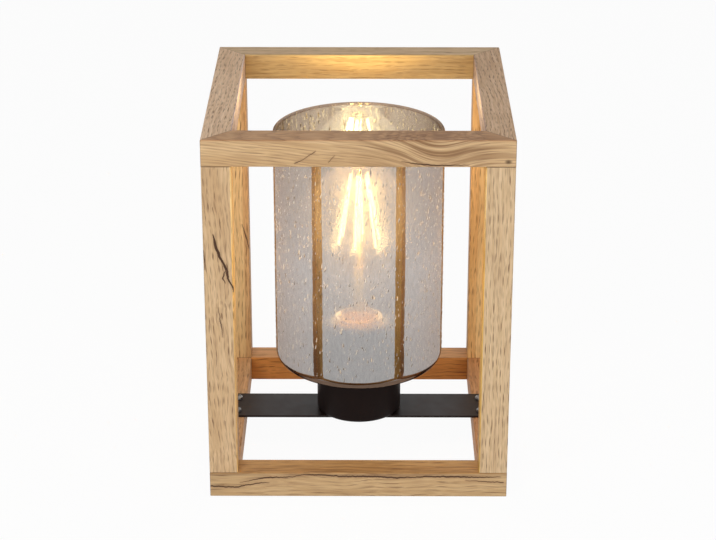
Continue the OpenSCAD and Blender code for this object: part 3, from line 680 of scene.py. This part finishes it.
WAVE = 0.045              # millimetres that the hand-made wall wanders
WAVE_ROUND = 2.6          # waves round the glass, as the radius of a circle through the noise
WAVE_UP = 0.022           # waves in each millimetre of height
WAVE_FINE = 3.1           # how many times shorter the fine waves are

ROUND = 192               # steps round the glass
ROWS = 44                 # steps up its wall
BEND_STEPS = 10           # steps round its bottom edge
RIM_STEPS = 8             # and over its rim
INSIDE, OUTSIDE, RIM = 0, 1, 2    # places among its materials

MIRROR = 0.33             # share of the light that the mirror coat throws back
MIRROR_VARY = 0.025
SHARE_BENT = 0.20         # of what is seen through the glass, bent by slow waves
SHARE_SPARKLE = 0.18      # and by small blisters
SHARE_BLURRED = 0.30      # and blurred

SEEDS = 3200              # bubbles in the wall
SEEDS_OUTSIDE = 0.85      # share of them that lie near the outside of the wall
SEEDS_BELOW = 4           # millimetres under the rim where they start
SEED_WIDTH = 0.26         # millimetres, half of the width of the narrowest
SEED_WIDTH_MORE = 0.36    # and how much more that is for the widest
SEED_STRETCH = (2.0, 5.0)  # height as a multiple of width
SEED_DEPTH = 0.8          # depth as a multiple of width
SEED_LEAN = 0.10          # how far they lean, as a share of their height
SEED_SUNK = 0.55          # how deep a seed's middle lies, as a share of its depth
SEED_SPLIT = -0.4         # where its painted lit and shaded sides meet


def shade_profile():
    """Outline of the glass as (radius, height, material) in mm, from the hole's lower edge round to its
    upper edge."""
    low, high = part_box("glass_shade")
    radius = high.x / MM
    foot, top = low.z / MM, high.z / MM
    rim = WALL / 2
    inner_radius = EDGE_RADIUS - WALL
    points = [(HOLE_RADIUS, foot, OUTSIDE), (FLOOR_RING, foot, OUTSIDE)]
    for k in range(BEND_STEPS + 1):
        angle = math.radians(-90 + 90 * k / BEND_STEPS)
        points.append((radius - EDGE_RADIUS + EDGE_RADIUS * math.cos(angle),
                       foot + EDGE_RADIUS + EDGE_RADIUS * math.sin(angle), OUTSIDE))
    for k in range(1, ROWS):
        points.append((radius, foot + EDGE_RADIUS + (top - rim - foot - EDGE_RADIUS) * k / ROWS, OUTSIDE))
    for k in range(RIM_STEPS + 1):
        angle = math.radians(180 * k / RIM_STEPS)
        points.append((radius - rim + rim * math.cos(angle), top - rim + rim * math.sin(angle), RIM))
    for k in range(1, ROWS):
        points.append((radius - WALL, top - rim - (top - rim - foot - BASE - inner_radius) * k / ROWS,
                       INSIDE))
    for k in range(BEND_STEPS + 1):
        angle = math.radians(-90 * k / BEND_STEPS)
        points.append((radius - WALL - inner_radius + inner_radius * math.cos(angle),
                       foot + BASE + inner_radius + inner_radius * math.sin(angle), INSIDE))
    points += [(FLOOR_RING, foot + BASE, INSIDE), (HOLE_RADIUS, foot + BASE, INSIDE)]
    return points


def wander(radius, angle, height):
    """How far, in mm, the hand-made wall lies outside a true cylinder."""
    if radius < STILL_RADIUS:
        return 0.0
    at = Vector((math.cos(angle) * WAVE_ROUND, math.sin(angle) * WAVE_ROUND, height * WAVE_UP))
    return WAVE * 2 * noise.noise(at) + WAVE * 0.5 * noise.noise(at * WAVE_FINE)


def turned_mesh(name, points):
    """Mesh turned about Z from (radius, height, material) points in mm, with a wandering wall."""
    verts = []
    for radius, height, _ in points:
        for k in range(ROUND):
            angle = 2 * math.pi * k / ROUND
            out = radius + wander(radius, angle, height)
            verts.append((out * math.cos(angle) * MM, out * math.sin(angle) * MM, height * MM))
    faces, materials = [], []
    rows = len(points)
    for row in range(rows):
        after = (row + 1) % rows
        for k in range(ROUND):
            n = (k + 1) % ROUND
            faces.append((row * ROUND + k, row * ROUND + n, after * ROUND + n, after * ROUND + k))
            materials.append(min(points[row][2], points[after][2]))
    mesh = bpy.data.meshes.new(name)
    mesh.from_pydata(verts, [], faces)
    mesh.polygons.foreach_set("material_index", materials)
    mesh.polygons.foreach_set("use_smooth", [True] * len(faces))
    mesh.update()
    return mesh


def make_shade():
    foot, top = (corner.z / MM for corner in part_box("glass_shade"))
    middle = (foot + top) / 2
    # how strong the mirror coat is at each height
    coat_levels = [(foot, 1.0), (foot + 25, 1.02), (middle, 1.22), (top - 35, 0.92), (top, 0.85)]

    def coated(g):
        """Outside: smoked glass with a thin mirror coat, browner where the eye meets it at a slant."""
        place = g.place()
        height = g.split(place)[Z]
        facing = g.facing()
        ream = g.noise(g.scale(place, (0.75, 0.75, 0.22)), detail=2)
        mirror = g.span(ream, 0.3, 0.7, MIRROR - MIRROR_VARY, MIRROR + MIRROR_VARY)
        mirror = g.math("MULTIPLY", mirror, g.line(height, coat_levels))
        share = g.math("MULTIPLY_ADD", g.math("POWER", facing, 6.0), 0.20, mirror)
        # painted reflection: near the foot the mirror coat and the smoke turn dark brown, standing in for
        # the dark things below that the bottom edge mirrors
        low = g.span(height, foot + PAINTED_DARK_LOW, foot + PAINTED_DARK_HIGH, 1.0, 0.0)
        silver = g.mix(g.span(facing, 0.30, 0.70), (1.0, 0.985, 0.975, 1), (0.97, 0.86, 0.79, 1))
        silver = g.mix(low, silver, (0.42, 0.28, 0.20, 1))
        smoke = g.mix(g.math("POWER", facing, 4.0), (0.465, 0.360, 0.275, 1), (0.200, 0.100, 0.050, 1))
        smoke = g.mix(low, smoke, (0.30, 0.19, 0.12, 1))
        wavy = g.bump(g.noise(g.scale(place, (0.28, 0.28, 0.20)), detail=2), 1.6, 1.0)
        blistered = g.bump(g.noise(g.scale(place, (0.90, 0.90, 0.36)), detail=1), 1.3, 1.0)
        refraction = "ShaderNodeBsdfRefraction"
        clear = g.shader("ShaderNodeBsdfTransparent", smoke)
        bent = g.shader(refraction, smoke, Roughness=0.04, IOR=1.22, Normal=wavy)
        sparkle = g.shader(refraction, smoke, Roughness=0.02, IOR=1.35, Normal=blistered)
        blurred = g.shader(refraction, smoke, Roughness=0.50, IOR=1.22)
        through = g.mix_shader(SHARE_BENT, clear, bent)
        through = g.mix_shader(SHARE_SPARKLE, through, sparkle)
        through = g.mix_shader(SHARE_BLURRED, through, blurred)
        shine = g.shader("ShaderNodeBsdfGlossy", silver, Roughness=0.03, Normal=g.bump(ream, 0.03, 0.30))
        return g.mix_shader(share, through, shine)

    def inside(g):
        clean = g.span(g.noise(g.place(), detail=1, scale=0.1), 0.3, 0.7, 0.95, 0.99)
        grey = g.add("ShaderNodeCombineColor", {0: clean, 1: clean, 2: clean})
        soft = g.shader("ShaderNodeBsdfGlossy", (1.0, 0.96, 0.88, 1), Roughness=0.23)
        return g.mix_shader(0.07, clear_glass(g, grey, 0.05, 0.4), soft)

    def rim(g):
        clean = g.span(g.noise(g.place(), detail=1, scale=0.15), 0.3, 0.7, 0.9, 1.1)
        dark = g.mix(clean, (0, 0, 0, 1), (0.60, 0.47, 0.36, 1))
        return clear_glass(g, dark, 0.10, 0.5)

    mesh = turned_mesh("shade_glass", shade_profile())
    mesh.materials.append(make_material("smoked_glass_inside", inside))
    mesh.materials.append(make_material("smoked_glass", coated))
    mesh.materials.append(make_material("smoked_glass_rim", rim))
    shade = bpy.data.objects.new("shade_glass", mesh)
    bpy.context.scene.collection.objects.link(shade)
    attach(shade, "lamp")
    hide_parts("glass_shade")


def unit_ball():
    """Points and triangles of a small ball of radius 1."""
    ball = bmesh.new()
    bmesh.ops.create_icosphere(ball, subdivisions=1, radius=1.0)
    points = [v.co.copy() for v in ball.verts]
    triangles = [tuple(v.index for v in f.verts) for f in ball.faces]
    ball.free()
    return points, triangles


def make_seeds():
    """Small upright bubbles in the wall, each a long blister just proud of its outside or inside. One
    side of each has a painted highlight and the other a painted shade."""
    low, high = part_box("glass_shade")
    radius = high.x / MM
    foot, top = low.z / MM, high.z / MM
    middle = (low.z + high.z) / 2 / MM
    draw = random.Random(7)
    points, triangles = unit_ball()
    verts, faces, sides = [], [], []
    for _ in range(SEEDS):
        angle = draw.uniform(0, 2 * math.pi)
        height = draw.uniform(foot + EDGE_RADIUS, top - SEEDS_BELOW)
        wide = SEED_WIDTH + SEED_WIDTH_MORE * draw.random() ** 2
        tall = wide * draw.uniform(*SEED_STRETCH)
        deep = wide * SEED_DEPTH
        lean = draw.gauss(0.0, SEED_LEAN)
        if draw.random() < SEEDS_OUTSIDE:
            at = radius - deep * SEED_SUNK
        else:
            at = radius - WALL + deep * SEED_SUNK
        turned = draw.random() < 0.5
        first = len(verts)
        for point in points:
            out = at + point.x * deep
            side = point.y * wide + point.z * tall * lean
            level = height + point.z * tall
            verts.append(((out * math.cos(angle) - side * math.sin(angle)) * MM,
                          (out * math.sin(angle) + side * math.cos(angle)) * MM, level * MM))
        for triangle in triangles:
            # each face goes to the painted lit side or the painted shaded side of its bubble
            on_one_side = sum(points[k].y for k in triangle) < SEED_SPLIT
            faces.append(tuple(first + k for k in triangle))
            sides.append(int(on_one_side != turned))

    # painted highlight: the bright side of each bubble
    def painted_lit_side(g):
        place = g.place()
        cloud = g.noise(place, detail=1, scale=0.3)
        split = g.split(place)
        clear_low = g.line(split[Z], [(middle - 75, 0.35), (middle - 30, 0.7), (middle, 1.0)])
        clear_back = g.span(split[Y], 0.0, 30.0, 1.0, 0.30)
        glass = g.shader("ShaderNodeBsdfGlass", (1.0, 0.97, 0.92, 1), IOR=1.5, Roughness=0.04)
        shine = g.shader("ShaderNodeBsdfGlossy", (1.0, 0.95, 0.85, 1), Roughness=0.15)
        veil = g.shader("ShaderNodeBsdfTranslucent", (1.0, 0.92, 0.76, 1))
        milk = g.shader("ShaderNodeBsdfDiffuse", (0.97, 0.94, 0.90, 1))
        glowing = g.math("MULTIPLY", g.span(cloud, 0.3, 0.7, 0.08, 0.42), clear_back)
        body = g.mix_shader(glowing, g.mix_shader(0.35, glass, shine), veil)
        faded = g.math("MULTIPLY", clear_low, clear_back)
        milky = g.math("MULTIPLY", g.span(cloud, 0.35, 0.65, 0.60, 0.30), faded)
        return g.mix_shader(milky, body, milk)

    # painted shade: the dark brown side of each bubble
    def painted_shaded_side(g):
        cloud = g.noise(g.place(), detail=1, scale=0.3)
        brown = g.mix(g.span(cloud, 0.3, 0.7), (0.36, 0.28, 0.21, 1), (0.66, 0.57, 0.49, 1))
        through = g.shader("ShaderNodeBsdfTransparent", brown)
        shine = g.shader("ShaderNodeBsdfGlossy", (1.0, 0.95, 0.85, 1), Roughness=0.15)
        return g.mix_shader(0.08, through, shine)

    mesh = bpy.data.meshes.new("shade_seeds")
    mesh.from_pydata(verts, [], faces)
    mesh.polygons.foreach_set("use_smooth", [True] * len(faces))
    mesh.polygons.foreach_set("material_index", sides)
    mesh.materials.append(make_material("seed_painted_lit_side", painted_lit_side))
    mesh.materials.append(make_material("seed_painted_shaded_side", painted_shaded_side))
    seeds = bpy.data.objects.new("shade_seeds", mesh)
    seeds.visible_shadow = False
    bpy.context.scene.collection.objects.link(seeds)
    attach(seeds, "lamp")


# ---------- the scene ----------

make_camera()
make_world()
make_floor()
make_soft_boxes()
dress_wood()
dress_hardware()
dress_bulb()
make_shade()
make_seeds()
bpy.context.scene.view_settings.view_transform = "Standard"
